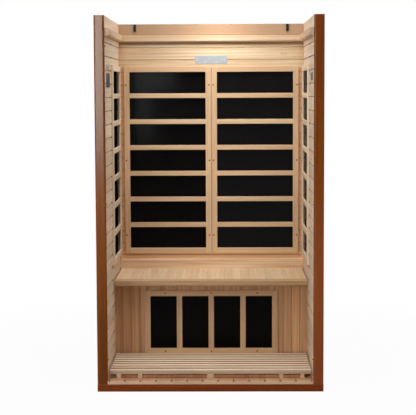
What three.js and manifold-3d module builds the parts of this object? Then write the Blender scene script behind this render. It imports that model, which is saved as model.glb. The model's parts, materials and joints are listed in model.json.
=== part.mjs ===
// Two-seat infrared sauna cabin, open at the front and the top: a stained outer shell on a base frame,
// softwood linings with V-jointed boards, five heater panels behind guard frames, a bench whose seat
// slides forward on cleats, and a loose duckboard on the floor.
// Millimetres, +Z up. X runs left to right, the open front faces -Y, the origin is under the middle.

import * as THREE from 'three';
import { mergeVertices } from 'three/addons/utils/BufferGeometryUtils.js';
import Module from 'manifold-3d';

// Overall sizes.
const cabinWidth = 1148;
const cabinDepth = 970;
const cabinHeight = 1900;

// Gap kept between pieces that touch.
const fit = 0.3;

// Base and floor.
const baseHeight = 38;
const baseRailWidth = 80;
const baseEdgeRadius = 2.5;
const joistWidth = 70;
const floorThickness = 17;
const floorBoardPitch = 79;

// Wall panels: stiles at the corners, cladding outside, lining inside, rails in the cavity between.
const wallThickness = 51;
const stileDepth = 33;
const stileEdgeRadius = 8;
const claddingThickness = 9;
const claddingRecess = 4;
const liningThickness = 14;
const wallRailHeight = 60;
const studWidth = 45;

// Lining boards and the V-joints between them.
const boardPitch = 69.5;
const topBoardHeight = 62;
const benchBoardPitch = 46;
const grooveWidth = 6;
const grooveDepth = 3.2;

// Ledge that carries the roof panel.
const roofThickness = 62;
const ledgeHeight = 40;
const ledgeDepth = 20;
const ledgeEdgeRadius = 11;

// Heater panels and their guard frames.
const guardRail = 31.5;
const guardProud = 11;
const guardBevel = 1.5;
const heaterThickness = 5;
const heaterEdgeBevel = 0.8;
const heaterLap = 14;

const wallGuardColumns = 1;
const wallGuardRows = 7;
const wallGuardBar = 27;
const wallGuardLedgeGap = 136;
const wallGuardSeatGap = 86.7;
const backGuardJoint = 1.6;
const backGuardEndGap = 27.2;
const sideGuardRearGap = 33;

const calfGuardColumns = 4;
const calfGuardRows = 1;
const calfGuardOpeningWidth = 143;
const calfGuardBar = 30;
const calfGuardSeatGap = 43.5;
const calfGuardFloorGap = 37.2;

// Heater leads that come up through the back wall and hook over its top edge.
const leadInset = 91.5;
const leadWidth = 14;
const leadThickness = 9;
const leadDrop = 41;
const leadReach = 24;
const leadBevel = 1.5;

// Bench.
const seatHeight = 510;
const seatFront = 433;
const seatThickness = 24;
const seatEndGap = 2;
const seatStavePitch = 46;
const staveGrooveWidth = 1.8;
const staveGrooveDepth = 1.2;
const nosingHeight = 34;
const nosingDepth = 45;
const nosingEdgeRadius = 7;
const seatOverhang = 85;
const benchPanelThickness = 16;
const cleatHeight = 40;
const cleatThickness = 25;
const skirtingHeight = 55;
const skirtingThickness = 14;
const skirtingEdgeRadius = 6;

// Duckboard.
const duckboardFront = 70;
const duckboardRearGap = 4;
const duckboardEndGap = 7;
const slatCount = 8;
const slatWidth = 36;
const slatThickness = 21;
const slatEdgeRadius = 4;
const bearerHeight = 21;
const bearerWidth = 21;
const middleBearerWidth = 33;
const bearerInsets = [45, 154];

// Facets in a rounded edge.
const edgeSegments = 4;

// Places that follow from the sizes. Y is measured from the front face of the cabin.
const halfWidth = cabinWidth / 2;
const innerHalf = halfWidth - wallThickness;
const backFace = cabinDepth - wallThickness;
const wallBottom = baseHeight + fit;
const floorTop = wallBottom + floorThickness;
const ledgeTop = cabinHeight - roofThickness;
const claddingInner = halfWidth - claddingRecess - claddingThickness;
const liningOuter = innerHalf + liningThickness;
const claddingRear = cabinDepth - claddingRecess;
const seatUnderside = seatHeight - seatThickness;
const benchPanelFront = seatFront + seatOverhang;

const wasm = await Module();
wasm.setup();

const cabin = new THREE.Group();
cabin.name = 'infrared_sauna_cabin';
const fromFront = new THREE.Group();
fromFront.position.y = -cabinDepth / 2;
cabin.add(fromFront);

const axisX = new THREE.Vector3(1, 0, 0);
const axisY = new THREE.Vector3(0, 1, 0);
const axisZ = new THREE.Vector3(0, 0, 1);

function finish(color, roughness) {
  return new THREE.MeshStandardMaterial({ color, roughness, metalness: 0, flatShading: true });
}

const softwood = () => finish(0xd8b48c, 0.62);
const stainedWood = () => finish(0x6a3013, 0.45);
const heaterBlack = () => finish(0x0b0b0c, 0.55);
const rubberBlack = () => finish(0x141416, 0.7);

function addPart(name, geometry, material) {
  const mesh = new THREE.Mesh(geometry, material);
  mesh.name = name;
  fromFront.add(mesh);
}

function box(low, high) {
  const size = high.map((value, axis) => value - low[axis]);
  const geometry = new THREE.BoxGeometry(...size);
  return geometry.translate(...low.map((value, axis) => value + size[axis] / 2));
}

// A shape pushed out along its normal, with both rims bevelled inside the given outline.
function prism(shape, depth, bevel = 0) {
  const geometry = new THREE.ExtrudeGeometry(shape, {
    depth: depth - 2 * bevel,
    bevelEnabled: bevel > 0,
    bevelThickness: bevel,
    bevelSize: bevel,
    bevelOffset: -bevel,
    bevelSegments: 1,
    curveSegments: edgeSegments,
  });
  return geometry.translate(0, 0, bevel);
}

// Stands a prism in the cabin: its shape's axes go along u and v, and it rises along u x v.
function place(geometry, origin, u, v) {
  const w = new THREE.Vector3().crossVectors(u, v);
  const stand = new THREE.Matrix4().makeBasis(u, v, w);
  stand.setPosition(...origin);
  return geometry.applyMatrix4(stand);
}

function toSolid(geometry) {
  const bare = geometry.clone();
  bare.deleteAttribute('normal');
  bare.deleteAttribute('uv');
  const merged = mergeVertices(bare, 1e-4);
  return new wasm.Manifold(new wasm.Mesh({
    numProp: 3,
    vertProperties: new Float32Array(merged.attributes.position.array),
    triVerts: new Uint32Array(merged.index.array),
  }));
}

function toGeometry(solid) {
  const mesh = solid.getMesh();
  const geometry = new THREE.BufferGeometry();
  geometry.setAttribute('position', new THREE.BufferAttribute(mesh.vertProperties, 3));
  geometry.setIndex(new THREE.BufferAttribute(mesh.triVerts, 1));
  return geometry;
}

function cut(geometry, tools) {
  return toGeometry(tools.reduce((solid, tool) => solid.subtract(toSolid(tool)), toSolid(geometry)));
}

function join(geometries) {
  return toGeometry(geometries.map(toSolid).reduce((solid, other) => solid.add(other)));
}

// Rectangle with a radius on each corner, given anticlockwise from the lower left one.
function roundedRect(x0, y0, x1, y1, [lowLeft = 0, lowRight = 0, highRight = 0, highLeft = 0]) {
  const shape = new THREE.Shape();
  const corner = (x, y, radius, start) => {
    if (radius === 0) shape.lineTo(x, y);
    else shape.absarc(x, y, radius, start, start + Math.PI / 2, false);
  };
  shape.moveTo(x0 + lowLeft, y0);
  corner(x1 - lowRight, y0 + lowRight, lowRight, -Math.PI / 2);
  corner(x1 - highRight, y1 - highRight, highRight, 0);
  corner(x0 + highLeft, y1 - highLeft, highLeft, Math.PI / 2);
  corner(x0 + lowLeft, y0 + lowLeft, lowLeft, Math.PI);
  return shape;
}

// Section through boards laid edge to edge: a plain back, and a V-joint in the face at each edge.
function boardedSection(width, thickness, joints, groove = grooveWidth, depth = grooveDepth) {
  const shape = new THREE.Shape();
  shape.moveTo(0, 0);
  shape.lineTo(width, 0);
  shape.lineTo(width, thickness);
  for (const joint of joints.toSorted((a, b) => b - a)) {
    shape.lineTo(joint + groove / 2, thickness);
    shape.lineTo(joint, thickness - depth);
    shape.lineTo(joint - groove / 2, thickness);
  }
  shape.lineTo(0, thickness);
  return shape;
}

// V-joints of the wall boards, measured up from the foot of the wall.
function wallJoints() {
  const joints = [];
  for (let z = cabinHeight - topBoardHeight; z > wallBottom + grooveWidth; z -= boardPitch) {
    joints.push(z - wallBottom);
  }
  return joints;
}

// V-joints of boards that are centred on a width, with one board on the middle.
function centredJoints(width, pitch) {
  const joints = [];
  for (let x = pitch / 2; x < width / 2 - grooveWidth; x += pitch) {
    joints.push(width / 2 - x, width / 2 + x);
  }
  return joints;
}

// Sizes of a guard frame with equal openings between two stiles and two rails.
function guardLayout(columns, rows, width, height, bar) {
  const gridWidth = width - 2 * guardRail;
  const gridHeight = height - 2 * guardRail;
  return {
    columns,
    rows,
    width,
    height,
    bar,
    openingWidth: (gridWidth - (columns - 1) * bar) / columns,
    openingHeight: (gridHeight - (rows - 1) * bar) / rows,
    heaterWidth: gridWidth + 2 * heaterLap,
    heaterHeight: gridHeight + 2 * heaterLap,
  };
}

// Low and high edges of a guard's members across one of its ways: an outer one, the bars, an outer one.
function guardMembers(count, opening, bar) {
  const members = [[0, guardRail]];
  for (let index = 1; index < count; index += 1) {
    const low = guardRail + index * opening + (index - 1) * bar;
    members.push([low, low + bar]);
  }
  const last = guardRail + count * opening + (count - 1) * bar;
  members.push([last, last + guardRail]);
  return members;
}

// Guard frame of eased members: whole stiles, and rails and bars that are let into what they meet.
function guardFrame(layout) {
  const tenon = guardRail / 2;
  const uprights = guardMembers(layout.columns, layout.openingWidth, layout.bar);
  const rails = guardMembers(layout.rows, layout.openingHeight, layout.bar);
  const outlines = [
    ...uprights.map(([low, high], index) => {
      const end = index === 0 || index === layout.columns ? 0 : tenon;
      return roundedRect(low, end, high, layout.height - end, []);
    }),
    ...rails.map(([low, high]) => roundedRect(tenon, low, layout.width - tenon, high, [])),
  ];
  return join(outlines.map((outline) => prism(outline, guardProud - fit, guardBevel)));
}

// A heater behind its guard. The foot is the lower corner of the guard's back on the lining's face,
// along is the way the guard's width runs, and the heater lies flush with the lining's back.
function addHeater(name, layout, foot, along, thickness) {
  const outward = new THREE.Vector3().crossVectors(along, axisZ);
  const guardFoot = new THREE.Vector3(...foot).addScaledVector(outward, fit);
  const guard = place(guardFrame(layout), guardFoot.toArray(), along, axisZ);
  addPart(`${name}_guard`, guard, softwood());

  const inset = guardRail - heaterLap;
  const panelFoot = new THREE.Vector3(...foot).addScaledVector(along, inset);
  panelFoot.addScaledVector(axisZ, inset);
  panelFoot.addScaledVector(outward, -thickness);
  const outline = roundedRect(0, 0, layout.heaterWidth, layout.heaterHeight, []);
  const panel = prism(outline, heaterThickness, heaterEdgeBevel);
  addPart(`${name}_panel`, place(panel, panelFoot.toArray(), along, axisZ), heaterBlack());

  const window = roundedRect(-fit, -fit, layout.heaterWidth + fit, layout.heaterHeight + fit, []);
  const windowFoot = panelFoot.clone().addScaledVector(outward, -thickness);
  return place(prism(window, 3 * thickness), windowFoot.toArray(), along, axisZ);
}

// The wall guards stand between the seat and the ledge, two of them side by side across the back.
const wallGuardBottom = seatHeight + wallGuardSeatGap;
const wallGuardHeight = ledgeTop - ledgeHeight - wallGuardLedgeGap - wallGuardBottom;
const wallGuardWidth = innerHalf - backGuardEndGap - backGuardJoint / 2;
const wallGuard = guardLayout(
  wallGuardColumns,
  wallGuardRows,
  wallGuardWidth,
  wallGuardHeight,
  wallGuardBar,
);

// The calf guard stands on the bench front, between the floor and the seat.
const calfGuardBottom = floorTop + calfGuardFloorGap;
const calfGuardHeight = seatUnderside - calfGuardSeatGap - calfGuardBottom;
const calfGuardBars = (calfGuardColumns - 1) * calfGuardBar + 2 * guardRail;
const calfGuard = guardLayout(
  calfGuardColumns,
  calfGuardRows,
  calfGuardColumns * calfGuardOpeningWidth + calfGuardBars,
  calfGuardHeight,
  calfGuardBar,
);

// Base: a stained rail under each wall, a joist down the middle and a boarded floor on top.
const frontRail = roundedRect(0, 0, baseRailWidth, baseHeight, [baseEdgeRadius, 0, 0, baseEdgeRadius]);
addPart(
  'base_front_rail',
  place(prism(frontRail, cabinWidth), [-halfWidth, 0, 0], axisY, axisZ),
  stainedWood(),
);
addPart(
  'base_rear_rail',
  box([-halfWidth, cabinDepth - baseRailWidth, 0], [halfWidth, cabinDepth, baseHeight]),
  stainedWood(),
);
const baseRailRun = [baseRailWidth + fit, cabinDepth - baseRailWidth - fit];
addPart(
  'base_left_rail',
  box([-halfWidth, baseRailRun[0], 0], [-halfWidth + baseRailWidth, baseRailRun[1], baseHeight]),
  stainedWood(),
);
addPart(
  'base_right_rail',
  box([halfWidth - baseRailWidth, baseRailRun[0], 0], [halfWidth, baseRailRun[1], baseHeight]),
  stainedWood(),
);
addPart(
  'base_joist',
  box([-joistWidth / 2, baseRailRun[0], 0], [joistWidth / 2, baseRailRun[1], baseHeight]),
  softwood(),
);
const floorWidth = 2 * (innerHalf - fit);
const floorSection = boardedSection(floorWidth, floorThickness, centredJoints(floorWidth, floorBoardPitch));
addPart(
  'floor_boards',
  place(prism(floorSection, backFace - fit), [-floorWidth / 2, backFace - fit, wallBottom], axisX, axisZ),
  softwood(),
);

// Side walls. The inward axis points from the wall into the cabin.
const wallHeight = cabinHeight - wallBottom;
const sideRun = [stileDepth + fit, cabinDepth - stileDepth - fit];
const sideSection = boardedSection(wallHeight, liningThickness, wallJoints());
const stileRounding = [stileEdgeRadius, stileEdgeRadius, 0, 0];
const stileSection = roundedRect(0, 0, wallThickness, stileDepth, stileRounding);

for (const [side, sign] of [['left', -1], ['right', 1]]) {
  const between = (a, b) => [Math.min(sign * a, sign * b), Math.max(sign * a, sign * b)];
  const [stileLow, stileHigh] = between(innerHalf, halfWidth);
  const [claddingLow, claddingHigh] = between(claddingInner, claddingInner + claddingThickness);
  const [cavityLow, cavityHigh] = between(liningOuter + fit, claddingInner - fit);

  addPart(
    `${side}_front_stile`,
    place(prism(stileSection, wallHeight), [stileLow, 0, wallBottom], axisX, axisY),
    stainedWood(),
  );
  addPart(
    `${side}_rear_stile`,
    box([stileLow, cabinDepth - stileDepth, wallBottom], [stileHigh, cabinDepth, cabinHeight]),
    stainedWood(),
  );
  addPart(
    `${side}_cladding`,
    box([claddingLow, sideRun[0], wallBottom], [claddingHigh, sideRun[1], cabinHeight]),
    stainedWood(),
  );
  addPart(
    `${side}_top_rail`,
    box([cavityLow, sideRun[0], cabinHeight - wallRailHeight], [cavityHigh, sideRun[1], cabinHeight]),
    softwood(),
  );
  addPart(
    `${side}_bottom_rail`,
    box([cavityLow, sideRun[0], wallBottom], [cavityHigh, sideRun[1], wallBottom + wallRailHeight]),
    softwood(),
  );

  const guardRear = backFace - sideGuardRearGap;
  const guardStart = sign < 0 ? guardRear - wallGuard.width : guardRear;
  const guardFoot = [sign * innerHalf, guardStart, wallGuardBottom];
  const guardAlong = axisY.clone().multiplyScalar(-sign);
  const window = addHeater(`${side}_heater`, wallGuard, guardFoot, guardAlong, liningThickness);

  const liningStart = sign < 0 ? sideRun[0] : sideRun[1];
  const inward = axisX.clone().multiplyScalar(-sign);
  const liningFoot = [sign * liningOuter, liningStart, wallBottom];
  const lining = place(prism(sideSection, sideRun[1] - sideRun[0]), liningFoot, axisZ, inward);
  addPart(`${side}_lining`, cut(lining, [window]), softwood());

  const ledgeSection = roundedRect(0, 0, ledgeDepth, ledgeHeight, [0, ledgeEdgeRadius, 0, 0]);
  const ledgeStart = sign < 0 ? backFace - fit : stileDepth + fit;
  const ledge = prism(ledgeSection, backFace - stileDepth - 2 * fit);
  const ledgeFoot = [sign * (innerHalf - fit), ledgeStart, ledgeTop - ledgeHeight];
  addPart(`${side}_roof_ledge`, place(ledge, ledgeFoot, inward, axisZ), softwood());
}

// Back wall, held between the side walls.
const backHalf = innerHalf - fit;
const backSection = boardedSection(wallHeight, liningThickness, wallJoints());
const facingFront = axisY.clone().negate();
const cavityRun = [backFace + liningThickness + fit, claddingRear - claddingThickness - fit];
const backGuardWindows = [['left', -1], ['right', 1]].map(([side, sign]) => {
  const start = sign < 0 ? -backGuardJoint / 2 - wallGuard.width : backGuardJoint / 2;
  return addHeater(
    `back_${side}_heater`,
    wallGuard,
    [start, backFace, wallGuardBottom],
    axisX,
    liningThickness,
  );
});

// Each lead lies in a notch across the lining and the top rail, and its end hangs down the face.
const leadPlaces = [leadInset - innerHalf, innerHalf - leadInset];
const leadFront = backFace - fit - leadThickness;
const leadRear = backFace + leadReach;
const leadNotches = leadPlaces.map((x) => box(
  [x - leadWidth / 2 - fit, backFace - liningThickness, cabinHeight - leadThickness - fit],
  [x + leadWidth / 2 + fit, leadRear + fit, cabinHeight + leadThickness],
));

const backLining = place(
  prism(backSection, 2 * backHalf),
  [-backHalf, backFace + liningThickness, wallBottom],
  axisZ,
  facingFront,
);
addPart('back_lining', cut(backLining, [...backGuardWindows, ...leadNotches]), softwood());
addPart(
  'back_cladding',
  box(
    [-backHalf, claddingRear - claddingThickness, wallBottom],
    [backHalf, claddingRear, cabinHeight],
  ),
  stainedWood(),
);
const backTopRail = box(
  [-backHalf, cavityRun[0], cabinHeight - wallRailHeight],
  [backHalf, cavityRun[1], cabinHeight],
);
addPart('back_top_rail', cut(backTopRail, leadNotches), softwood());
addPart(
  'back_bottom_rail',
  box([-backHalf, cavityRun[0], wallBottom], [backHalf, cavityRun[1], wallBottom + wallRailHeight]),
  softwood(),
);
const studRun = [wallBottom + wallRailHeight + fit, cabinHeight - wallRailHeight - fit];
addPart(
  'back_left_stud',
  box([-backHalf, cavityRun[0], studRun[0]], [-backHalf + studWidth, cavityRun[1], studRun[1]]),
  softwood(),
);
addPart(
  'back_right_stud',
  box([backHalf - studWidth, cavityRun[0], studRun[0]], [backHalf, cavityRun[1], studRun[1]]),
  softwood(),
);

const backLedgeHalf = innerHalf - ledgeDepth - 2 * fit;
const backLedgeSection = roundedRect(0, 0, ledgeDepth, ledgeHeight, [ledgeEdgeRadius, 0, 0, 0]);
addPart(
  'back_roof_ledge',
  place(
    prism(backLedgeSection, 2 * backLedgeHalf),
    [-backLedgeHalf, backFace - fit - ledgeDepth, ledgeTop - ledgeHeight],
    axisY,
    axisZ,
  ),
  softwood(),
);

// Lead seen from the side: a flat arm along the notch, a round bend and a hanging end with a round tip.
function leadShape() {
  const tip = leadThickness / 2;
  const shape = new THREE.Shape();
  shape.moveTo(leadRear - leadFront, cabinHeight);
  shape.absarc(leadThickness, cabinHeight - leadThickness, leadThickness, Math.PI / 2, Math.PI, false);
  shape.absarc(tip, cabinHeight - leadDrop + tip, tip, Math.PI, 2 * Math.PI, false);
  shape.lineTo(leadThickness, cabinHeight - leadThickness);
  shape.lineTo(leadRear - leadFront, cabinHeight - leadThickness);
  return shape;
}
['left', 'right'].forEach((side, index) => {
  const lead = prism(leadShape(), leadWidth, leadBevel);
  const leadFoot = [leadPlaces[index] - leadWidth / 2, leadFront, 0];
  addPart(`back_${side}_heater_lead`, place(lead, leadFoot, axisY, axisZ), rubberBlack());
});

// Bench: a boarded front with the calf heater, cleats on three walls and a sliding seat.
const calfFoot = [-calfGuard.width / 2, benchPanelFront, calfGuardBottom];
const calfWindow = addHeater('calf_heater', calfGuard, calfFoot, axisX, benchPanelThickness);
const benchWidth = 2 * (innerHalf - fit);
const benchTop = seatUnderside - fit;
const benchBottom = floorTop + fit;
const benchSection = boardedSection(
  benchWidth,
  benchPanelThickness,
  centredJoints(benchWidth, benchBoardPitch),
);
const benchPanel = place(
  prism(benchSection, benchTop - benchBottom),
  [-benchWidth / 2, benchPanelFront + benchPanelThickness, benchTop],
  axisX,
  facingFront,
);
addPart('bench_panel', cut(benchPanel, [calfWindow]), softwood());

const cleatBottom = benchTop - cleatHeight;
const cleatRun = [benchPanelFront + benchPanelThickness + fit, backFace - fit];
const cleatOuter = innerHalf - fit;
const cleatInner = cleatOuter - cleatThickness;
addPart(
  'bench_left_cleat',
  box([-cleatOuter, cleatRun[0], cleatBottom], [-cleatInner, cleatRun[1], benchTop]),
  softwood(),
);
addPart(
  'bench_right_cleat',
  box([cleatInner, cleatRun[0], cleatBottom], [cleatOuter, cleatRun[1], benchTop]),
  softwood(),
);
addPart(
  'bench_back_cleat',
  box(
    [-cleatInner + fit, cleatRun[1] - cleatThickness, cleatBottom],
    [cleatInner - fit, cleatRun[1], benchTop],
  ),
  softwood(),
);
const skirtingSection = roundedRect(0, 0, skirtingThickness, skirtingHeight, [0, 0, 0, skirtingEdgeRadius]);
addPart(
  'bench_skirting',
  place(
    prism(skirtingSection, benchWidth),
    [-benchWidth / 2, backFace - fit - skirtingThickness, seatHeight + fit],
    axisY,
    axisZ,
  ),
  softwood(),
);

const seatHalf = innerHalf - seatEndGap;
const seatRun = [seatFront + nosingDepth + fit, backFace - seatEndGap];
const seatSection = boardedSection(
  2 * seatHalf,
  seatThickness,
  centredJoints(2 * seatHalf, seatStavePitch),
  staveGrooveWidth,
  staveGrooveDepth,
);
addPart(
  'seat_board',
  place(prism(seatSection, seatRun[1] - seatRun[0]), [-seatHalf, seatRun[1], seatUnderside], axisX, axisZ),
  softwood(),
);
const nosingSection = roundedRect(0, 0, nosingDepth, nosingHeight, [nosingEdgeRadius, 0, 0, nosingEdgeRadius]);
addPart(
  'seat_nosing',
  place(prism(nosingSection, 2 * seatHalf), [-seatHalf, seatFront, seatHeight - nosingHeight], axisY, axisZ),
  softwood(),
);

// Duckboard: slats across the cabin on bearers that run front to back.
const bearerBottom = floorTop + fit;
const bearerTop = bearerBottom + bearerHeight;
const slatBottom = bearerTop + fit;
const duckboardRear = benchPanelFront - guardProud - duckboardRearGap;
const duckboardDepth = duckboardRear - duckboardFront;
const slatPitch = (duckboardDepth - slatWidth) / (slatCount - 1);
const slatHalf = innerHalf - duckboardEndGap;
const [endBearer, sideBearer] = bearerInsets.map((inset) => slatHalf - inset);
const bearerPlaces = [-endBearer, -sideBearer, 0, sideBearer, endBearer];
bearerPlaces.forEach((x, index) => {
  const width = x === 0 ? middleBearerWidth : bearerWidth;
  addPart(
    `duckboard_bearer_${index + 1}`,
    box(
      [x - width / 2, duckboardFront, bearerBottom],
      [x + width / 2, duckboardRear, bearerTop],
    ),
    softwood(),
  );
});
const slatRounding = [0, 0, slatEdgeRadius, slatEdgeRadius];
const slatSection = roundedRect(0, 0, slatWidth, slatThickness, slatRounding);
for (let index = 0; index < slatCount; index += 1) {
  const y = duckboardFront + index * slatPitch;
  addPart(
    `duckboard_slat_${index + 1}`,
    place(prism(slatSection, 2 * slatHalf), [-slatHalf, y, slatBottom], axisY, axisZ),
    softwood(),
  );
}

export default cabin;
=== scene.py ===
# %% [markdown]
# # Infrared sauna cabin
#
# The cabin is open at the front and at the top. Its walls are boarded with pale softwood inside and
# have stained edges and cladding outside. Black heater sheets sit behind wooden guard frames, the
# bench has a seat that slides out, and a duckboard lies loose on the floor.
#
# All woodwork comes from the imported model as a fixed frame, so this lesson is about finishes, light
# and small fittings. Lengths are in metres, the open front faces -Y and +Z is up.

# %% Load the frame
import json
import math
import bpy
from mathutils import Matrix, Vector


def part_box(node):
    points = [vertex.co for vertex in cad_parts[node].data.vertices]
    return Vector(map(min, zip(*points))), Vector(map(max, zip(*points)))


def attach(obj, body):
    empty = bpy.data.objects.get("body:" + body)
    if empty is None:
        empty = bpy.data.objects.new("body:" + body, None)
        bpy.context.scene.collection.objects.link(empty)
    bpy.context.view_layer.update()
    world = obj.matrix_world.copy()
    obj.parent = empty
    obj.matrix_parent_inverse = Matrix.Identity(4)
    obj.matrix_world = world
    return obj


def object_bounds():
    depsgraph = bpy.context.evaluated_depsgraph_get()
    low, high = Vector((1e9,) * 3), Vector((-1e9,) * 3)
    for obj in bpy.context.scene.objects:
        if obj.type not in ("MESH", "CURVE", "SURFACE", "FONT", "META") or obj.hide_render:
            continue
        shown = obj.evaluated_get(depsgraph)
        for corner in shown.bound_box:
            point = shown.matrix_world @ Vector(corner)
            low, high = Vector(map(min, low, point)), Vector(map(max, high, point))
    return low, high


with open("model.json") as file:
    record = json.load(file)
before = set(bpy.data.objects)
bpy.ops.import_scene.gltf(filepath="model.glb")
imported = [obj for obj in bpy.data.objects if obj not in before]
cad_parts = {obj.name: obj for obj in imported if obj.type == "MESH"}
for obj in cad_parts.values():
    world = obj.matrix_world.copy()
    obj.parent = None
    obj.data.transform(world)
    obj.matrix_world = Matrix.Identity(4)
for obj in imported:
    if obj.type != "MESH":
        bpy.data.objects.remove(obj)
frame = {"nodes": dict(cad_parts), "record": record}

from types import SimpleNamespace

import bmesh
import bpy
from mathutils import Matrix, Vector

X, Y, Z = range(3)
cad_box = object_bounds()
nodes = frame["nodes"]
slot_of = {part["node"]: part["material_slot"] for part in frame["record"]["subparts"]}
front = cad_box[0].y
print(len(nodes), "woodwork pieces, front face at y", round(front, 3))

# %% [markdown]
# ## Camera
#
# The viewer stands about six and a half metres in front of the cabin, a little to the right of its
# middle, with the eye at 1.5 m. Such a long distance keeps the stiles almost parallel. A camera can
# be aimed with a constraint, but writing its axes as a matrix also takes the small lean of the
# picture, and needs no extra object.

# %% Camera
picture_width = 416
focal_pixels = 1308.24
turn_left, look_down, lean = 0.01356, 0.08833, -0.00411
eye = Vector((0.08012, front - 6.53984, 1.51918))

ahead = Vector((-math.sin(turn_left) * math.cos(look_down),
                math.cos(turn_left) * math.cos(look_down),
                -math.sin(look_down)))
level = Vector((math.cos(turn_left), math.sin(turn_left), 0))
upward = level.cross(ahead)
to_right = level * math.cos(lean) + upward * math.sin(lean)
to_top = upward * math.cos(lean) - level * math.sin(lean)
turned = Matrix((to_right, to_top, -ahead)).transposed().to_4x4()

camera = bpy.data.objects.new("camera", bpy.data.cameras.new("camera"))
camera.data.sensor_width = 36
camera.data.lens = camera.data.sensor_width * focal_pixels / picture_width
camera.matrix_world = Matrix.Translation(eye) @ turned
bpy.context.scene.collection.objects.link(camera)
bpy.context.scene.camera = camera
print("lens", round(camera.data.lens, 1), "mm at", [round(v, 3) for v in eye])

# %% [markdown]
# ## A small language for shaders
#
# A finish such as wood is arithmetic on a point's place: distance along the grain, distance across
# it, which board it is. Wiring every Math node by hand hides that arithmetic. One class wraps an
# output socket instead, so `1 - knot` adds a Math node, and its method `node` adds any other node:
# its type, its settings, then the values or links of its sockets. A list of links goes to a socket
# that takes several.

# %% Wire: sockets that do arithmetic
class Wire:
    def __init__(self, tree, socket=None):
        self.tree, self.socket = tree, socket

    def node(self, kind, settings=None, sockets=None, out=0):
        made = self.tree.nodes.new(kind)
        for name, value in (settings or {}).items():
            setattr(made, name, value)
        for name, value in (sockets or {}).items():
            if isinstance(value, (Wire, list)):
                for wire in value if isinstance(value, list) else [value]:
                    self.tree.links.new(wire.socket, made.inputs[name])
            else:
                made.inputs[name].default_value = value
        return Wire(self.tree, made.outputs[out] if made.outputs else None)

    def math(self, operation, first, second=0.0):
        return self.node("ShaderNodeMath", {"operation": operation}, {0: first, 1: second})

    def __add__(self, other):
        return self.math("ADD", self, other)

    def __sub__(self, other):
        return self.math("SUBTRACT", self, other)

    def __rsub__(self, other):
        return self.math("SUBTRACT", other, self)

    def __mul__(self, other):
        return self.math("MULTIPLY", self, other)

    def __truediv__(self, other):
        return self.math("DIVIDE", self, other)

    def __pow__(self, other):
        return self.math("POWER", self, other)

    __radd__, __rmul__ = __add__, __mul__

    def absolute(self):
        return self.math("ABSOLUTE", self)

    def floor(self):
        return self.math("FLOOR", self)

    def fraction(self):
        return self.math("FRACT", self)

    def sine(self):
        return self.math("SINE", self)

    def smaller(self, other):
        return self.math("MINIMUM", self, other)

    def larger(self, other):
        return self.math("MAXIMUM", self, other)

    def above(self, other):
        return self.math("GREATER_THAN", self, other)

    def step(self, low, high):
        """0 at low, 1 at high, with soft ends."""
        return self.node("ShaderNodeMapRange", {"interpolation_type": "SMOOTHSTEP"},
                         {"Value": self, "From Min": low, "From Max": high})

    def tint(self, under, over):
        """The colour under, with the colour over laid on where this value is 1."""
        return self.node("ShaderNodeMix", {"data_type": "RGBA"}, {0: self, 6: under, 7: over}, out=2)

    def point(self, x=0.0, y=0.0, z=0.0):
        return self.node("ShaderNodeCombineXYZ", {}, {0: x, 1: y, 2: z})

    def noise(self, place, scale, detail):
        return self.node("ShaderNodeTexNoise", {}, {"Vector": place, "Scale": scale, "Detail": detail})

    def bump(self, height, strength, distance):
        return self.node("ShaderNodeBump", {}, {"Height": height, "Strength": strength, "Distance": distance})


# %% Colours and the ends of a finish
def colour(red, green, blue):
    """A colour as screens write it, 0 to 255, in the linear form that shaders use."""
    parts = [c / 255 for c in (red, green, blue)]
    return tuple(c / 12.92 if c <= 0.04045 else ((c + 0.055) / 1.055) ** 2.4 for c in parts) + (1.0,)


def new_finish(name):
    """A material without nodes, a Wire to add them with, and the three coordinates."""
    material = bpy.data.materials.new(name)
    material.use_nodes = True
    material.node_tree.nodes.clear()
    pen = Wire(material.node_tree)
    place = pen.node("ShaderNodeTexCoord", out="Object")
    xyz = [pen.node("ShaderNodeSeparateXYZ", {}, {0: place}, out=axis) for axis in (X, Y, Z)]
    return material, pen, xyz


def shade(pen, **sockets):
    """The Principled shader at the end of a finish."""
    named = {name.replace("_", " "): value for name, value in sockets.items()}
    surface = pen.node("ShaderNodeBsdfPrincipled", {}, named)
    pen.node("ShaderNodeOutputMaterial", {}, {"Surface": surface})


def wear(piece, material):
    """Puts one material on a whole piece."""
    piece.data.materials.clear()
    piece.data.materials.append(material)


print("pale softwood in linear numbers:", [round(c, 3) for c in colour(226, 192, 152)])

# %% [markdown]
# ## Stage
#
# The cabin stands on a plain white floor before a white background. The background is white only
# for rays that come from the camera or from a shiny surface; every other ray meets a soft fill that
# is brighter overhead. The floor blends that white with a plain grey, so it keeps the cabin's
# shadow.

# %% World
white_paint = (1, 1, 1, 1)
fill_low, fill_high, fill_full = 0.02, 0.52, 0.9


def seen_rays(pen):
    """1 for rays from the camera, a mirror-like surface or glass."""
    camera_ray, glossy_ray, glass_ray = (pen.node("ShaderNodeLightPath", out=f"Is {kind} Ray")
                                         for kind in ("Camera", "Glossy", "Transmission"))
    return camera_ray.larger(glossy_ray).larger(glass_ray)


world = bpy.data.worlds.new("white_studio")
bpy.context.scene.world = world
world.use_nodes = True
world.node_tree.nodes.clear()
pen = Wire(world.node_tree)
direction = pen.node("ShaderNodeTexCoord", out="Generated")
height = pen.node("ShaderNodeSeparateXYZ", {}, {0: direction}, out="Z")
sky = height.step(0.0, fill_full).tint((fill_low,) * 3 + (1,), (fill_high,) * 3 + (1,))
fill = pen.node("ShaderNodeBackground", {}, {"Color": sky, "Strength": 1.0})
white = pen.node("ShaderNodeBackground", {}, {"Color": white_paint, "Strength": 1.0})
both = pen.node("ShaderNodeMixShader", {}, {0: seen_rays(pen), 1: fill, 2: white})
pen.node("ShaderNodeOutputWorld", {}, {"Surface": both})
print("world fill", fill_low, "to", fill_high)

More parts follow.
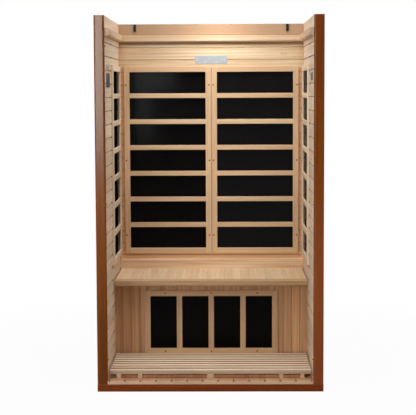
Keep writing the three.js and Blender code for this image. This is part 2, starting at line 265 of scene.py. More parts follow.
# %% Floor
floor_reach = 30
floor_grey = (0.5, 0.5, 0.5, 1)
shadow_near, shadow_far, shadow_share = 1.0, 3.0, 0.03

floor_mesh = bpy.data.meshes.new("studio_floor")
floor_mesh.from_pydata([(sx * floor_reach, sy * floor_reach, 0)
                        for sx, sy in ((-1, -1), (1, -1), (1, 1), (-1, 1))], [], [(0, 1, 2, 3)])
floor = bpy.data.objects.new("studio_floor", floor_mesh)
bpy.context.scene.collection.objects.link(floor)

floor_finish, pen, (x, y, z) = new_finish("studio_white")
far = (x * x + y * y).step(shadow_near ** 2, shadow_far ** 2)
bare = pen.node("ShaderNodeBsdfDiffuse", {}, {"Color": floor_grey})
glow = pen.node("ShaderNodeEmission", {}, {"Color": white_paint, "Strength": 1.0})
whiteness = seen_rays(pen) * ((1 - shadow_share) + far * shadow_share)
both = pen.node("ShaderNodeMixShader", {}, {0: whiteness, 1: bare, 2: glow})
pen.node("ShaderNodeOutputMaterial", {}, {"Surface": both})
floor_mesh.materials.append(floor_finish)
print("floor", floor_reach * 2, "m wide")

# %% [markdown]
# ## Light
#
# A large soft light hangs over the open top, so the bench front lies in shade. A small lamp just
# over the top, near the back wall, draws the bright patch on that wall's upper boards. A wide light
# at the front left and a weak one at the front right fill the shadows.
#
# Three more lamps are seen by shiny surfaces only. Ordinary lamps in their places would flood the
# wood, while these add just the pale sheen on the left front stile and the soft grey one on the
# upper sheets of the back wall's left heater.

# %% Lights
def softbox(name, place, target, width, height, power, only_sheen=False, tint=(1, 1, 1)):
    """A soft rectangular lamp that the camera doesn't see."""
    lamp = bpy.data.lights.new(name, "AREA")
    lamp.shape, lamp.size, lamp.size_y, lamp.energy, lamp.color = "RECTANGLE", width, height, power, tint
    box = bpy.data.objects.new(name, lamp)
    aim = (Vector(target) - Vector(place)).to_track_quat("-Z", "Y").to_matrix().to_4x4()
    box.matrix_world = Matrix.Translation(place) @ aim
    bpy.context.scene.collection.objects.link(box)
    box.visible_diffuse = not only_sheen
    box.visible_camera = False
    print(name, power, "W,", width, "x", height, "m")


softbox("overhead_light", (0.0, -1.2, 4.4), (0, -0.1, 1.0), 3.2, 2.6, 116)
softbox("top_lamp", (0.04, 0.17, 2.05), (0.04, 0.17, 1.0), 0.12, 0.12, 2.7)
softbox("left_light", (-1.8, -4.0, 1.0), (0, 0, 0.9), 1.5, 1.5, 27)
softbox("left_sheen", (-1.13, -3.6, 2.0), (-0.55, 0, 1.6), 0.62, 1.8, 285,
        only_sheen=True, tint=(0.93, 1.0, 0.92))
softbox("heater_sheen", (-0.54, -3.6, 1.64), (-0.35, 0.4, 1.58), 0.33, 0.2, 3.2, only_sheen=True)
softbox("heater_glint", (-0.63, -3.6, 1.31), (-0.38, 0.4, 1.4), 0.06, 0.42, 1.5, only_sheen=True)
softbox("right_light", (2.6, -4.2, 1.6), (0.2, 0, 0.9), 2.0, 2.0, 4)

# %% [markdown]
# ## Wood
#
# Two woods are used: a pale, straight-grained softwood that is only sanded, and the same kind of
# wood under a red-brown stain with satin varnish. Both show slow streaks and fine dark latewood
# lines along the grain, a few small knots, boards that differ in tone, and edges that handling has
# changed. An image of wood would repeat and would not know where a board ends. Here each piece gets
# its own finish from its box: the grain follows the longest side, and boarded pieces also say how
# wide a board is and where the first joint lies.
#
# A look is a dictionary of colours and shares. Looks for single pieces start from one of the two
# woods and name only what differs. Some of that is painted light and shade: the low pieces are darker
# copies of the softwood, some pieces get lighter bands by height, and walls and floor get marks of place.

# %% Colours of the two woods
softwood = {
    "pale": colour(228, 200, 166), "tan": colour(196, 158, 119), "late": colour(166, 120, 80),
    "knot": colour(112, 66, 36), "edge": colour(236, 206, 168),
    "rings": 230, "late_share": 0.38, "board_change": 0.17, "hue_change": 0.012,
    "edge_width": 0.003, "edge_share": 0.45, "joint_shade": 0.25, "knots": 0.86,
    "roughness": 0.6, "specular": 0.1, "coat": 0.0, "relief": 0.00025,
}
stained = {
    "pale": colour(142, 69, 12), "tan": colour(119, 53, 7), "late": colour(82, 31, 4),
    "knot": colour(52, 20, 8), "edge": colour(160, 88, 44),
    "rings": 190, "late_share": 0.45, "board_change": 0.12, "hue_change": 0.008,
    "edge_width": 0.006, "edge_share": 0.55, "joint_shade": 0.6, "knots": 0.97,
    "roughness": 0.5, "specular": 0.01, "coat": 0.15, "relief": 0.00015,
}


def cut(base, pale, tan, **more):
    """A wood with its own two streak colours, and whatever else is named."""
    return base | {"pale": colour(*pale), "tan": colour(*tan)} | more


print("softwood and stained wood each have", len(softwood), "values")

# %% Looks of single pieces
# The middle band is painted light: a lighter band at middle height, given by the share, then the heights
# where it starts, is full, ends being full, and is gone.
# The left stile's outer rim is left unvarnished and painted lighter, as a highlight.
left_stile = cut(stained, (125, 63, 10), (105, 50, 5), late=colour(72, 28, 4), bare_rim=0.008,
                 middle_tone=(0.4, 0.25, 0.6, 0.95, 1.35))
# The right stile is painted lighter towards its foot, as light.
right_stile = cut(stained, (146, 74, 13), (122, 57, 8), coat=0.08, foot_varnish=0.25, foot_tone=0.22)
side_guard = cut(softwood, (242, 224, 201), (224, 199, 170))
# The side walls carry painted shade: warm shade in the rear corners, and shade at the groove ends under a
# guard.
left_wall = side_guard | {"joint_shade": 0.6, "under_guard": 0.7, "corner": colour(232, 176, 122)}
# Painted light along the front of the right wall.
right_wall = left_wall | {"bleached": colour(242, 236, 226)}
# The back wall's marks of place are painted: a shadow strip under the ledge, shade on the board above it, and
# warm shade beside and below the guards. The eye is a real knot.
back_wall = cut(softwood, (228, 206, 174), (200, 164, 127), under_ledge=colour(150, 102, 60),
                top_board=colour(178, 150, 121), eye=softwood["late"], eye_place=(0.413, 1.733),
                beside_guards=colour(214, 162, 114), below_guards=colour(230, 185, 139))
ledge = cut(softwood, (223, 197, 165), (206, 175, 139))
# The back guards are painted lighter at middle height, as light.
back_guard = cut(softwood, (223, 191, 154), (208, 172, 134), board_change=0.08,
                 middle_tone=(0.16, 0.8, 1.05, 1.25, 1.5))
skirting = cut(softwood, (240, 214, 178), (210, 170, 128), late_share=0.14)
# Painted shade: the bench front, calf guard, nosing and floor boards are darker copies of the softwood, for
# pieces low in the cabin's shade.
bench_front = cut(softwood, (226, 179, 137), (193, 145, 103), hue_change=0.008, joint_shade=0.2)
calf_guard = cut(softwood, (212, 176, 138), (190, 149, 110))
nosing = cut(softwood, (199, 163, 126), (177, 138, 102))
seat = cut(softwood, (226, 198, 167), (210, 177, 141), late_share=0.24, joint_shade=0.0,
           board_change=0.09, end_shade=0.65)
# Under the duckboard the floor is painted lighter and warmer, as light in its shaded gap.
floor_board = cut(softwood, (179, 140, 109), (157, 118, 89), joint_shade=-0.12, lip=colour(190, 164, 138),
                  fresh_pale=colour(250, 188, 134), fresh_tan=colour(226, 150, 98))
slat = cut(softwood, (237, 214, 188), (214, 182, 152), side_shade=0.86)
front_slat = slat | {"side_shade": 0.26}

looks = {"softwood": softwood, "stained_wood": stained}
own_looks = {
    "left_front_stile": left_stile, "right_front_stile": right_stile,
    "left_lining": left_wall, "right_lining": right_wall, "back_lining": back_wall,
    "left_heater_guard": side_guard, "right_heater_guard": side_guard,
    "back_left_heater_guard": back_guard, "back_right_heater_guard": back_guard,
    "left_roof_ledge": ledge, "right_roof_ledge": ledge, "back_roof_ledge": ledge,
    "bench_panel": bench_front, "bench_skirting": skirting, "calf_heater_guard": calf_guard,
    "seat_board": seat, "seat_nosing": nosing, "floor_boards": floor_board, "duckboard_slat_1": front_slat,
} | {f"duckboard_slat_{k}": slat for k in range(2, 9)}
print(len(own_looks), "pieces have their own look")

# %% [markdown]
# A layout tells the finish where the grain runs on a piece. A single bar has its grain along its
# longest side. Boards count themselves by their width. A guard frame has upright ends with bars
# between them, so its grain changes direction where a bar meets an upright.

# %% Layouts: where the grain runs and where boards end
def longest_axes(node):
    low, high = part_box(node)
    return sorted((X, Y, Z), key=lambda axis: low[axis] - high[axis])


def one_piece(node, xyz):
    """A single bar: grain along its longest side, wear along its four long edges."""
    grain, wide, thick = longest_axes(node)
    low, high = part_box(node)
    across, deep = ((xyz[a] - low[a]).absolute().smaller((xyz[a] - high[a]).absolute())
                    for a in (wide, thick))
    return {"along": xyz[grain], "across": xyz[wide], "depth": xyz[thick], "board": xyz[grain] * 0.0,
            "edge": across.larger(deep)}


def boards(grain, stack, width, first):
    """Boards of one width beside each other, with a joint at the coordinate first."""
    def layout(node, xyz):
        place = (xyz[stack] - first) / width
        board = place.floor()
        joint = (0.5 - (place - board - 0.5).absolute()) * width
        return {"along": xyz[grain], "across": xyz[stack], "depth": xyz[X + Y + Z - grain - stack],
                "board": board, "joint": joint}
    return layout


def guard(side, rail, pitch, upright_bars=False):
    """A guard frame: upright stiles at its ends with bars between them."""
    right_half, upper_half, uprights = 17, 31, 50  # keep the numbers of its bars apart

    def layout(node, xyz):
        low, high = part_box(node)
        half_width, half_height = (high[side] - low[side]) / 2, (high.z - low.z) / 2
        from_middle = xyz[side] - (low[side] + high[side]) / 2
        from_mid_height = xyz[Z] - (low.z + high.z) / 2
        upright = from_middle.absolute().above(half_width - rail)
        if upright_bars:
            upright = upright.larger(1 - from_mid_height.absolute().above(half_height - rail))
            bar = (from_middle / pitch + 0.5).floor()
            level = from_mid_height.above(0.0) * upper_half
        else:
            bar = from_middle.above(0.0) * right_half
            level = ((xyz[Z] - low.z) / pitch).floor()
        lying = 1 - upright
        return {"along": upright * xyz[Z] + lying * xyz[side],
                "across": upright * xyz[side] + lying * xyz[Z],
                "depth": xyz[X + Y - side], "board": upright * (bar + uprights) + lying * level}
    return layout


print("base rail grain axis", "xyz"[longest_axes("base_front_rail")[0]])

# %% [markdown]
# The grain itself is noise that is stretched along the board. Every board draws two chances from
# its number, which move the noise so that no two boards match. Latewood lines are the sharp end of
# a repeating ramp across the board, bent by a slow noise. Knots are the middles of Voronoi cells,
# and most cells are left without one.

# %% Grain
# Waves per metre along and across the grain, and how fine the noise is.
streak_sizes = {"drift": (1.4, 24, 3.0), "figure": (1.9, 110, 3.0),
                "wander": (0.9, 7, 1.0), "fibre": (16, 800, 2.0)}
board_step, piece_step, draw_step = 1.7, 13.1, 0.37  # keep the draws of boards and pieces apart
shift_along, shift_across = 40, 9  # how far a board's chances move its noise
ring_tilt, ring_wander, ring_shift, late_sharpness = 0.4, 9, 5, 4.0
cells_along, cells_across = (2.0, 11), (3.3, 7)  # knot cells per metre, and their shift by chance
knot_core, knot_rim = 0.008, 0.026


def grain_of(pen, lay, look, seed):
    """Two chances for each board, streaks of four sizes, latewood lines and knots."""
    along, across, depth = lay["along"], lay["across"], lay["depth"]
    number = lay["board"] * board_step + seed * piece_step
    draw = "ShaderNodeTexWhiteNoise", {"noise_dimensions": "1D"}
    chance = pen.node(*draw, {"W": number})
    second = pen.node(*draw, {"W": number + draw_step})

    def streaks(long, short, detail):
        stretched = pen.point(along * long + chance * shift_along,
                              across * short + second * shift_across, depth * short)
        return pen.noise(stretched, 1.0, detail)

    streak = {name: streaks(*size) for name, size in streak_sizes.items()}
    ring = (across * look["rings"] + depth * look["rings"] * ring_tilt
            + streak["wander"] * ring_wander + second * ring_shift)
    late = ring.fraction() ** late_sharpness
    cell_place = pen.point(*(distance * count + chance * shift for distance, (count, shift)
                             in ((along, cells_along), (across, cells_across))))
    cells = {"Vector": cell_place, "Scale": 1.0}
    voronoi = "ShaderNodeTexVoronoi", {"voronoi_dimensions": "2D"}, cells
    from_centre = pen.node(*voronoi)
    cell_chance = pen.node("ShaderNodeSeparateXYZ", {}, {0: pen.node(*voronoi, out="Color")})
    knot = (1 - from_centre.step(knot_core, knot_rim)) * cell_chance.above(look["knots"])
    return SimpleNamespace(chance=chance, second=second, late=late, knot=knot, **streak)


print("softwood has a latewood line every", round(1000 / softwood["rings"], 1), "mm")

# %% [markdown]
# Some places get painted light and shade. Floor boards under the duckboard are painted lighter and
# warmer, as light in their shaded gap, and their front lip is lighter and paler. The side walls get
# painted warm shade in the rear corners and painted shade where their grooves run under a guard, and
# the right wall painted light along its front. The back wall gets a painted shadow under its ledge,
# painted shade on the board above it, and painted warm shade beside and below its guards. The next
# helpers mark such places with a value from 0 to 1.

# %% Masks of places
ledge_low, ledge_top = (corner.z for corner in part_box("back_roof_ledge"))
duckboard_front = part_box("duckboard_slat_1")[0].y
fresh_edge, corner_edge = 0.012, 0.01
lip_depth, lip_full = 0.007, 0.6  # full up to this share of its depth
rim_bare = 0.4  # a rim is bare up to this share of its width
guard_reach, lip_reach, board_face = (0.02, 0.05), (0.02, 0.03), (0.005, 0.003)
lip_groove_shade = 0.75


def under_duckboard(y):
    return y.step(duckboard_front, duckboard_front + fresh_edge)


def front_lip(y):
    return 1 - y.step(front + lip_depth * lip_full, front + lip_depth)


def behind_guard(node, y):
    """1 on a side wall from its guard's rear edge back to the corner."""
    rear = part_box(node.replace("lining", "heater_guard"))[1].y
    return y.step(rear - corner_edge, rear + corner_edge)


def ring_knot(look, x, z):
    """The single larger knot on the back wall: an oval ring."""
    half_width, half_height, middle, soft = 0.02, 0.006, 0.75, 0.4
    eye_x, eye_z = look["eye_place"]
    radius = (((x - eye_x) / half_width) ** 2.0 + ((z - eye_z) / half_height) ** 2.0) ** 0.5
    return 1 - (radius - middle).absolute().step(0.0, soft)


def varnished(node, look, x):
    """0 on the outer rounded edge of a stile, which is left unvarnished and gets a painted highlight."""
    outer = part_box(node)[0].x
    return x.step(outer + look["bare_rim"] * rim_bare, outer + look["bare_rim"])


def groove_ends(node, look, xyz):
    """Darkened ends of the grooves: painted shade where a wall's grooves run under a guard's front edge, and
    dark ends at the floor's front edge.
    """
    if "under_guard" in look:
        guard_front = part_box(node.replace("lining", "heater_guard"))[0].y
        return (1 - (xyz[Y] - guard_front).absolute().step(*guard_reach)) * look["under_guard"]
    if "lip" in look:
        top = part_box(node)[1].z
        near_front = 1 - xyz[Y].step(*(front + depth for depth in lip_reach))
        return near_front * xyz[Z].step(*(top - depth for depth in board_face)) * lip_groove_shade
    return None


print("ledge up to", round(ledge_top, 3), "m, duckboard starts at y", round(duckboard_front, 3))

# %% Colour of the wood
drift_range, drift_share = (0.3, 0.7), 0.55
figure_range, figure_share = (0.35, 0.68), 0.6
wear_range, knot_share = (0.25, 0.6), 0.8
# Shares of the marks of place: the eye is a knot and the lip a paler front edge; the others are painted light
# and shade.
mark_share = {"eye": 0.55, "under_ledge": 0.75, "top_board": 0.55, "beside_guards": 0.8, "below_guards": 0.9,
              "corner": 0.75, "bleached": 0.6, "lip": 0.45}
ledge_strip, bleached_strip = (0.026, 0.006), (0.06, 0.2)
# The strips round the back guards carry painted warm shade; these are their soft edges.
guard_side, guard_top, guard_foot = 0.004, 0.02, 0.01  # soft edges of the strips round the back guards


def marks(node, look, xyz):
    """The names and masks of a look's marks of place, in the order they are laid on: a knot, a paler floor
    lip, and the rest painted light and shade.
    """
    x, y, z = xyz
    if "eye" in look:
        yield "eye", ring_knot(look, x, z)
    if "under_ledge" in look:
        # Painted shadow in a strip under the ledge.
        yield "under_ledge", z.step(*(ledge_low - depth for depth in ledge_strip))
        # Painted shade on the board above the ledge.
        yield "top_board", z.above(ledge_top)
    if "beside_guards" in look:
        low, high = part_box("back_right_heater_guard")
        # Painted warm shade in the strips beside and below the back guards.
        beside = x.absolute().step(high.x - guard_side, high.x)
        yield "beside_guards", beside * (1 - z.step(high.z - guard_top, high.z))
        yield "below_guards", 1 - z.step(low.z, low.z + guard_foot)
    if "corner" in look:
        # Painted warm shade in the rear corners of the side walls.
        yield "corner", behind_guard(node, y)
    if "bleached" in look:
        # Painted light on the right wall's front strip.
        yield "bleached", 1 - y.step(*(front + depth for depth in bleached_strip))
    if "lip" in look:
        yield "lip", front_lip(y)


def face_of(node, look, lay, xyz, grain):
    """Pale and tan streaks with painted light under the duckboard, then latewood lines, knots, worn edges and
    marks of place, most of which are painted light and shade.
    """
    streak = grain.drift.step(*drift_range) * drift_share + grain.figure.step(*figure_range) * figure_share
    face = streak.tint(look["pale"], look["tan"])
    # Painted light: the floor under the duckboard is lighter and warmer.
    if "fresh_pale" in look:
        face = under_duckboard(xyz[Y]).tint(face, streak.tint(look["fresh_pale"], look["fresh_tan"]))
    face = (grain.late * look["late_share"]).tint(face, look["late"])
    face = (grain.knot * knot_share).tint(face, look["knot"])
    if "edge" in lay:
        worn = (1 - lay["edge"].step(0.0, look["edge_width"])) * grain.drift.step(*wear_range)
        face = (worn * look["edge_share"]).tint(face, look["edge"])
    for mark, mask in marks(node, look, xyz):
        face = (mask * mark_share[mark]).tint(face, look[mark])
    return face


print("marked by place:", [name for name, look in own_looks.items() if mark_share.keys() & look.keys()])

# %% Tone and varnish of the wood
fibre_change, worn_lift, varnish_change = 0.16, 0.6, 0.1
groove, groove_end = (0.0005, 0.0035), (0.002, 0.007)  # from full to none, beside a joint
corner_groove_change, fresh_groove_change = 0.35, 0.25
foot_heights, varnish_heights = (0.5, 1.4), (0.7, 1.15)
seat_end, slat_top = (0.007, 0.003), (0.0028, 0.0004)


def tone_of(node, look, lay, xyz, grain):
    """How light the wood is: boards and fibres differ, grooves are dark, floor lips are lighter, hidden sides
    get painted shade, and some places get painted light and shade.
    """
    x, y, z = xyz
    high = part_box(node)[1]
    tone = 1 + (grain.chance - 0.5) * look["board_change"] + (grain.fibre - 0.5) * fibre_change
    if "lip" in look:
        tone = tone + front_lip(y) * worn_lift
    if "joint" in lay:
        # Groove darkness; a negative share, as on the floor, paints the grooves lighter than their shade.
        dirt = look["joint_shade"]
        if "corner" in look:
            dirt = dirt - behind_guard(node, y) * corner_groove_change
        if "fresh_pale" in look:
            dirt = dirt + under_duckboard(y) * fresh_groove_change
        tone = tone * (1 - (1 - lay["joint"].step(*groove)) * dirt)
        # Painted shade at groove ends under a guard, and dark groove ends at the floor's lip.
        ends = groove_ends(node, look, xyz)
        if ends is not None:
            tone = tone * (1 - (1 - lay["joint"].step(*groove_end)) * ends)
    # Painted light: lighter towards the foot.
    if "foot_tone" in look:
        tone = tone + (1 - z.step(*foot_heights)) * look["foot_tone"]
    # Painted light: a lighter band at middle height.
    if "middle_tone" in look:
        share, start, full, leave, gone = look["middle_tone"]
        tone = tone + (z.step(start, full) - z.step(leave, gone)) * share
    # Painted highlight on the stile's bare outer rim.
    if "bare_rim" in look:
        tone = tone + (1 - varnished(node, look, x)) * worn_lift
    if "end_shade" in look:
        tone = tone * (1 - x.absolute().step(*(high.x - depth for depth in seat_end)) * look["end_shade"])
    if "side_shade" in look:
        tone = tone * (1 - (1 - z.step(*(high.z - depth for depth in slat_top))) * look["side_shade"])
    return tone


def varnish_of(node, look, xyz, grain):
    """Satin varnish that is thicker here and there, and near the foot of the right stile."""
    varnish = look["coat"] + (grain.drift - 0.5) * varnish_change
    if "foot_varnish" in look:
        varnish = varnish + (1 - xyz[Z].step(*varnish_heights)) * look["foot_varnish"]
    if "bare_rim" in look:
        varnish = varnish * varnished(node, look, xyz[X])
    return varnish


print("varnished:", [name for name, look in looks.items() if look["coat"]])

# %% The wood finish
fibre_rough, late_rough, knot_smooth, varnish_rough = 0.22, 0.06, 0.1, 0.24
fibre_rise, late_rise, knot_dip, relief_strength = 0.6, 0.5, 0.4, 0.6


def wood(node, look, layout, seed):
    material, pen, xyz = new_finish(node + "_wood")
    lay = layout(node, xyz)
    grain = grain_of(pen, lay, look, seed)
    face = pen.node("ShaderNodeHueSaturation", {}, {
        "Hue": 0.5 + (grain.second - 0.5) * look["hue_change"],
        "Value": tone_of(node, look, lay, xyz, grain),
        "Color": face_of(node, look, lay, xyz, grain)})
    rough = (look["roughness"] + (grain.fibre - 0.5) * fibre_rough + grain.late * late_rough
             - grain.knot * knot_smooth)
    rise = grain.fibre * fibre_rise + grain.late * late_rise - grain.knot * knot_dip
    finish = {"Base_Color": face, "Roughness": rough, "Specular_IOR_Level": look["specular"],
              "Normal": pen.bump(rise, relief_strength, look["relief"])}
    if look["coat"]:
        finish |= {"Coat_Weight": varnish_of(node, look, xyz, grain), "Coat_Roughness": varnish_rough}
    shade(pen, **finish)
    wear(nodes[node], material)


print("wood is ready for", list(looks))

# %% [markdown]
# Boarded pieces list their boards. The wall boards lie level and are counted down from the ledge,
# the floor boards run front to back, the bench front is upright and the seat is glued up from
# staves.

# %% Give every wooden piece its finish
guard_rail, wall_bar_pitch, calf_bar_pitch = 0.0315, 0.14704, 0.173
wall_board, floor_width, stave, clad_board = 0.0695, 0.079, 0.046, 0.151
boarded = {
    "left_lining": boards(Y, Z, wall_board, ledge_top), "right_lining": boards(Y, Z, wall_board, ledge_top),
    "back_lining": boards(X, Z, wall_board, ledge_top),
    "floor_boards": boards(Y, X, floor_width, floor_width / 2),
    "bench_panel": boards(Z, X, stave, stave / 2), "seat_board": boards(Y, X, stave, stave / 2),
    "left_cladding": boards(Z, Y, clad_board, 0.0), "right_cladding": boards(Z, Y, clad_board, 0.0),
    "back_cladding": boards(Z, X, clad_board, 0.0),
    "left_heater_guard": guard(Y, guard_rail, wall_bar_pitch),
    "right_heater_guard": guard(Y, guard_rail, wall_bar_pitch),
    "back_left_heater_guard": guard(X, guard_rail, wall_bar_pitch),
    "back_right_heater_guard": guard(X, guard_rail, wall_bar_pitch),
    "calf_heater_guard": guard(X, guard_rail, calf_bar_pitch, upright_bars=True),
}
wooden = sorted(name for name, slot in slot_of.items() if slot in looks)
for seed, name in enumerate(wooden):
    wood(name, own_looks.get(name, looks[slot_of[name]]), boarded.get(name, one_piece), seed)
print(len(wooden), "wooden pieces finished,", len(boarded), "of them boarded or framed")

# %% [markdown]
# ## Heater sheets and leads
#
# A heater is a thin black carbon sheet. It is smooth, with faint level lines where the carbon tracks
# lie, a very fine weave and a little dust. The leads that hook over the back wall are black rubber
# with a fine pebbled skin.

# %% Black finishes
weave_pitch, track_pitch = 0.004, 0.021
track_band, track_share = (0.36, 0.46), 0.4
dust_band, dust_share = (0.68, 0.8), 0.5


def heater_sheet(node, seed, gloss):
    material, pen, (x, y, z) = new_finish(node + "_black")
    point = pen.point(x + seed, y, z)
    cloud, dust = pen.noise(point, 6.0, 3.0), pen.noise(point, 900.0, 1.0)
    turns = math.tau / weave_pitch
    weave = ((x + y) * turns).sine() * (z * turns).sine()
    track = ((z / track_pitch).fraction() - 0.5).absolute().step(*track_band)
    face = cloud.step(0.3, 0.7).tint(colour(10, 9, 9), colour(14, 12, 12))
    face = (track * track_share).tint(face, colour(18, 17, 17))
    face = (dust.step(*dust_band) * dust_share).tint(face, colour(40, 38, 36))
    shade(pen, Base_Color=face, Roughness=0.1 + (cloud - 0.5) * 0.08 + weave * 0.01,
          Normal=pen.bump(weave * 0.5 + dust * 0.5, 0.1, 0.0001), Specular_IOR_Level=gloss)
    wear(nodes[node], material)


def rubber(node):
    material, pen, xyz = new_finish(node + "_rubber")
    point = pen.point(*xyz)
    pebble, cloud = pen.noise(point, 700.0, 2.0), pen.noise(point, 40.0, 2.0)
    face = cloud.step(0.35, 0.7).tint(colour(9, 8, 8), colour(20, 18, 17))
    shade(pen, Base_Color=face, Roughness=0.55 + (pebble - 0.5) * 0.3,
          Normal=pen.bump(pebble, 0.5, 0.0003), Specular_IOR_Level=0.12)
    wear(nodes[node], material)


# Sheets that face the open front have a little gloss. On the side walls any gloss would turn them grey.
heater_gloss = {"back_left_heater_panel": 0.017, "back_right_heater_panel": 0.056, "calf_heater_panel": 0.02}
heaters = sorted(name for name, slot in slot_of.items() if slot == "heater_black")
leads = sorted(name for name, slot in slot_of.items() if slot == "lead_rubber")
for seed, name in enumerate(heaters):
    heater_sheet(name, seed, heater_gloss.get(name, 0.0))
for name in leads:
    rubber(name)
print(len(heaters), "heater sheets and", len(leads), "leads finished")

# %% [markdown]
# ## Screws and inserts
#
# Screws hold the guard frames: three up each stile, three along each rail of the calf guard. Six
# brass inserts wait in the inner faces of the front stiles for the front wall. A screw could be
# copied by hand, but one Geometry Nodes tree makes the head, cuts its recess and sets it on every
# place, turned by the direction that the place faces. The places are the points of a small mesh.

# %% A tree that sets recessed heads on places
# Radii and arms are shares of a head's diameter, the socket's depth a share of its height.
head_sides, top_radius, foot_radius = 20, 0.42, 0.5
arm_length, arm_width = 0.6, 0.13
socket_sides, socket_radius, socket_depth = 6, 0.26, 1.6


def head_tree(name, cross):
    """Heads with a cross recess, or with a six-sided one."""
    tree = bpy.data.node_groups.new(name, "GeometryNodeTree")
    inputs = {"Places": "Geometry", "Diameter": "Float", "Height": "Float", "Finish": "Material"}
    for label, kind in inputs.items():
        tree.interface.new_socket(label, in_out="INPUT", socket_type="NodeSocket" + kind)
    tree.interface.new_socket("Heads", in_out="OUTPUT", socket_type="NodeSocketGeometry")
    pen = Wire(tree)
    places, size, height, finish = (pen.node("NodeGroupInput", out=label) for label in inputs)
    head = pen.node("GeometryNodeMeshCone", {}, {
        "Vertices": head_sides, "Radius Top": size * top_radius, "Radius Bottom": size * foot_radius,
        "Depth": height}, out="Mesh")
    if cross:
        tools = [pen.node("GeometryNodeMeshCube", {}, {"Size": pen.point(size * wide, size * deep, height)})
                 for wide, deep in ((arm_length, arm_width), (arm_width, arm_length))]
    else:
        tools = [pen.node("GeometryNodeMeshCylinder", {}, {
            "Vertices": socket_sides, "Radius": size * socket_radius, "Depth": height * socket_depth})]
    lift = pen.point(z=height)
    raised = [pen.node("GeometryNodeTransform", {}, {"Geometry": tool, "Translation": lift})
              for tool in tools]
    recessed = pen.node("GeometryNodeMeshBoolean", {"operation": "DIFFERENCE", "solver": "EXACT"},
                        {"Mesh 1": head, "Mesh 2": raised}, out="Mesh")
    facing = pen.node("GeometryNodeInputNamedAttribute", {"data_type": "FLOAT_VECTOR"}, {"Name": "facing"})
    turned = pen.node("FunctionNodeAlignRotationToVector", {"axis": "Z"}, {"Vector": facing})
    heads = pen.node("GeometryNodeInstanceOnPoints", {}, {
        "Points": places, "Instance": recessed, "Rotation": turned})
    real = pen.node("GeometryNodeRealizeInstances", {}, {"Geometry": heads})
    done = pen.node("GeometryNodeSetMaterial", {}, {"Geometry": real, "Material": finish})
    pen.node("NodeGroupOutput", {}, {"Heads": done})
    return tree


cross_head, socket_head = head_tree("cross_recess_head", True), head_tree("six_sided_recess_head", False)
print("trees:", cross_head.name, "and", socket_head.name)


# %% From a tree to a plain piece
def add_piece(name, mesh, body):
    piece = bpy.data.objects.new(name, mesh)
    bpy.context.scene.collection.objects.link(piece)
    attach(piece, body)
    print(name, len(mesh.vertices), "points on", body)


def set_heads(name, body, tree, places, diameter, height, finish):
    """Runs the tree on the places, each a point and the direction it faces, and keeps a plain mesh."""
    points = bpy.data.meshes.new(name + "_places")
    points.from_pydata([place for place, _ in places], [], [])
    facing = points.attributes.new("facing", "FLOAT_VECTOR", "POINT")
    facing.data.foreach_set("vector", [v for _, direction in places for v in direction])
    seed_piece = bpy.data.objects.new(name + "_places", points)
    bpy.context.scene.collection.objects.link(seed_piece)
    modifier = seed_piece.modifiers.new("heads", "NODES")
    modifier.node_group = tree
    values = {"Diameter": diameter, "Height": height, "Finish": finish}
    for item in tree.interface.items_tree:
        if item.in_out == "INPUT" and item.name in values:
            modifier[item.identifier] = values[item.name]
    ready = seed_piece.evaluated_get(bpy.context.evaluated_depsgraph_get())
    mesh = bpy.data.meshes.new_from_object(ready)
    mesh.name = name
    bpy.data.objects.remove(seed_piece)
    add_piece(name, mesh, body)


# %% [markdown]
# The metals share one finish: fine brush lines along one axis, cloudy tarnish and a few lighter
# rubs. Each is given its base colour, the colour of its rubs, its roughness and the brushed axis.
# The silver plate is painted and the clips are dull, so the first is not metallic and the second
# hardly.

# %% Metal finish
def metal(name, base, worn, roughness, brushed, metallic=1.0):
    along_brush, across_brush = 18, 1500
    material, pen, xyz = new_finish(name)
    stretched = [c * (along_brush if axis == brushed else across_brush) for axis, c in enumerate(xyz)]
    lines, cloud = pen.noise(pen.point(*stretched), 1.0, 2.0), pen.noise(pen.point(*xyz), 55.0, 3.0)
    face = (cloud.step(0.45, 0.7) * 0.6 + (lines - 0.5) * 0.4).tint(base, worn)
    shade(pen, Base_Color=face, Roughness=roughness + (lines - 0.5) * 0.2 + (cloud - 0.5) * 0.15,
          Metallic=metallic, Normal=pen.bump(lines, 0.25, 0.0001), Specular_IOR_Level=0.1)
    return material


bronze = metal("bronzed_steel", colour(92, 62, 40), colour(140, 100, 66), 0.42, Z)
brass = metal("insert_brass", colour(116, 92, 40), colour(158, 130, 64), 0.4, Z)
dull_steel = metal("dull_steel", colour(28, 23, 20), colour(84, 76, 68), 0.5, Y, metallic=0.3)
zinc = metal("zinc_plate", colour(178, 180, 182), colour(214, 216, 218), 0.36, X)
silver = metal("silver_plate", colour(160, 167, 172), colour(182, 187, 190), 0.5, X, metallic=0.0)
slate = metal("slate_plate", colour(104, 112, 122), colour(134, 142, 150), 0.42, Y)
print("six metals ready")

# %% Screws on the guards
inward = {"left": (1, 0, 0), "right": (-1, 0, 0), "back": (0, -1, 0)}
screw_inset, screw_rise, calf_screw_spread = 0.011, 0.428, 0.25
screw_diameter, screw_height = 0.009, 0.0008

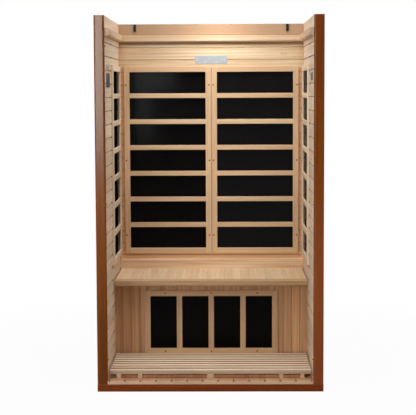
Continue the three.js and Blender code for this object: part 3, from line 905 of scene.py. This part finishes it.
guard_screws = []
for guard_place in ("left", "right", "back_left", "back_right"):
    low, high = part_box(f"{guard_place}_heater_guard")
    wall = guard_place.split("_")[0]
    side = X if wall == "back" else Y
    face = high.x if wall == "left" else low[X + Y - side]
    for edge in (low[side] + screw_inset, high[side] - screw_inset):
        for rise in (-screw_rise, 0, screw_rise):
            place = [edge, edge, (low.z + high.z) / 2 + rise]
            place[X + Y - side] = face
            guard_screws.append((place, inward[wall]))
low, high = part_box("calf_heater_guard")
for x in (-calf_screw_spread, 0, calf_screw_spread):
    for z in (low.z + guard_rail / 2, high.z - guard_rail / 2):
        guard_screws.append(((x, low.y, z), inward["back"]))
set_heads("guard_screws", "cabin", cross_head, guard_screws, screw_diameter, screw_height, bronze)
print(len(guard_screws), "guard screws")

# %% Inserts in the front stiles
insert_heights, insert_inset = (0.165, 0.955, 1.748), 0.02
insert_diameter, insert_height = 0.013, 0.006
inserts = [((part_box(f"{side}_front_stile")[side == "left"].x, front + insert_inset, z), inward[side])
           for side in ("left", "right") for z in insert_heights]
set_heads("front_wall_inserts", "cabin", socket_head, inserts, insert_diameter, insert_height, brass)
print(len(inserts), "inserts")

# %% [markdown]
# ## Plates and clips
#
# Thin plates with rounded corners sit on the back wall and on both side walls. They are bare. Each
# is an outline drawn once, raised to its thickness and eased along its front edge. The duckboard has
# a small dull steel clip in the gap at each end of its front slat, with two screws.

# %% Plates
plate_thickness, plate_corner, plate_ease, corner_steps = 0.0014, 0.005, 0.0005, 6


def plate(name, centre, level, upward, width, height, finish, body="cabin"):
    """A rounded plate on a wall: level and upward are its axes, and it faces level x upward."""
    level, upward, centre = Vector(level), Vector(upward), Vector(centre)
    outward = level.cross(upward)
    shape = bmesh.new()
    rings = []
    for inset, rise in ((0.0, 0.0), (0.0, plate_thickness - plate_ease), (plate_ease, plate_thickness)):
        ring = []
        for sx, sy, start in ((1, 1, 0), (-1, 1, 90), (-1, -1, 180), (1, -1, 270)):
            for k in range(corner_steps + 1):
                angle = math.radians(start + 90 * k / corner_steps)
                across = sx * (width / 2 - plate_corner) + (plate_corner - inset) * math.cos(angle)
                along = sy * (height / 2 - plate_corner) + (plate_corner - inset) * math.sin(angle)
                ring.append(shape.verts.new(centre + level * across + upward * along + outward * rise))
        rings.append(ring)
    count = len(rings[0])
    for lower, upper in zip(rings, rings[1:]):
        for k in range(count):
            shape.faces.new((lower[k], lower[(k + 1) % count], upper[(k + 1) % count], upper[k]))
    shape.faces.new(rings[-1])
    shape.faces.new(list(reversed(rings[0])))
    mesh = bpy.data.meshes.new(name)
    shape.to_mesh(mesh)
    shape.free()
    mesh.materials.append(finish)
    add_piece(name, mesh, body)


left_face, right_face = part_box("left_lining")[1].x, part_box("right_lining")[0].x
back_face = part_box("back_lining")[0].y
to_rear, to_front, rightward, up = (0, 1, 0), (0, -1, 0), (1, 0, 0), (0, 0, 1)
small_place, small_size = (front + 0.19, 1.6445), (0.178, 0.025)  # the two small plates face each other
plate("back_wall_plate", (0, back_face, 1.699), rightward, up, 0.184, 0.044, silver)
plate("left_wall_plate", (left_face, front + 0.202, 1.5795), to_rear, up, 0.212, 0.073, slate)
plate("left_wall_small_plate", (left_face, *small_place), to_rear, up, *small_size, zinc)
plate("right_wall_plate", (right_face, front + 0.177, 1.5965), to_front, up, 0.168, 0.039, slate)
plate("right_wall_small_plate", (right_face, *small_place), to_front, up, *small_size, zinc)

# %% Duckboard clips
slat_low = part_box("duckboard_slat_1")[0]
clip_width, clip_height, clip_set_back, clip_gap = 0.03, 0.013, 0.009, 0.0015
clip_screw_shift, clip_screw_diameter = 0.008, 0.007
clip_screws = []
for side, bearer in (("left", "duckboard_bearer_1"), ("right", "duckboard_bearer_5")):
    sign = -1 if side == "left" else 1
    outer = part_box(bearer)[side == "right"].x
    middle = Vector((outer + sign * clip_width / 2, slat_low.y + clip_set_back,
                     slat_low.z - clip_height / 2 - clip_gap))
    plate(f"duckboard_{side}_clip", middle, rightward, up, clip_width, clip_height, dull_steel, "duckboard")
    clip_screws += [(middle + Vector((shift, -plate_thickness, 0)), inward["back"])
                    for shift in (-clip_screw_shift, clip_screw_shift)]
set_heads("duckboard_clip_screws", "duckboard", cross_head, clip_screws,
          clip_screw_diameter, screw_height, bronze)
print(len(clip_screws), "clip screws")

# %% [markdown]
# ## Size
#
# The looks must not change the cabin's size, so the box of the imported woodwork is printed.

# %% Print the woodwork's box and finish
bpy.context.scene.view_settings.view_transform = "Standard"
print("cad box", [[round(v, 4) for v in corner] for corner in cad_box])
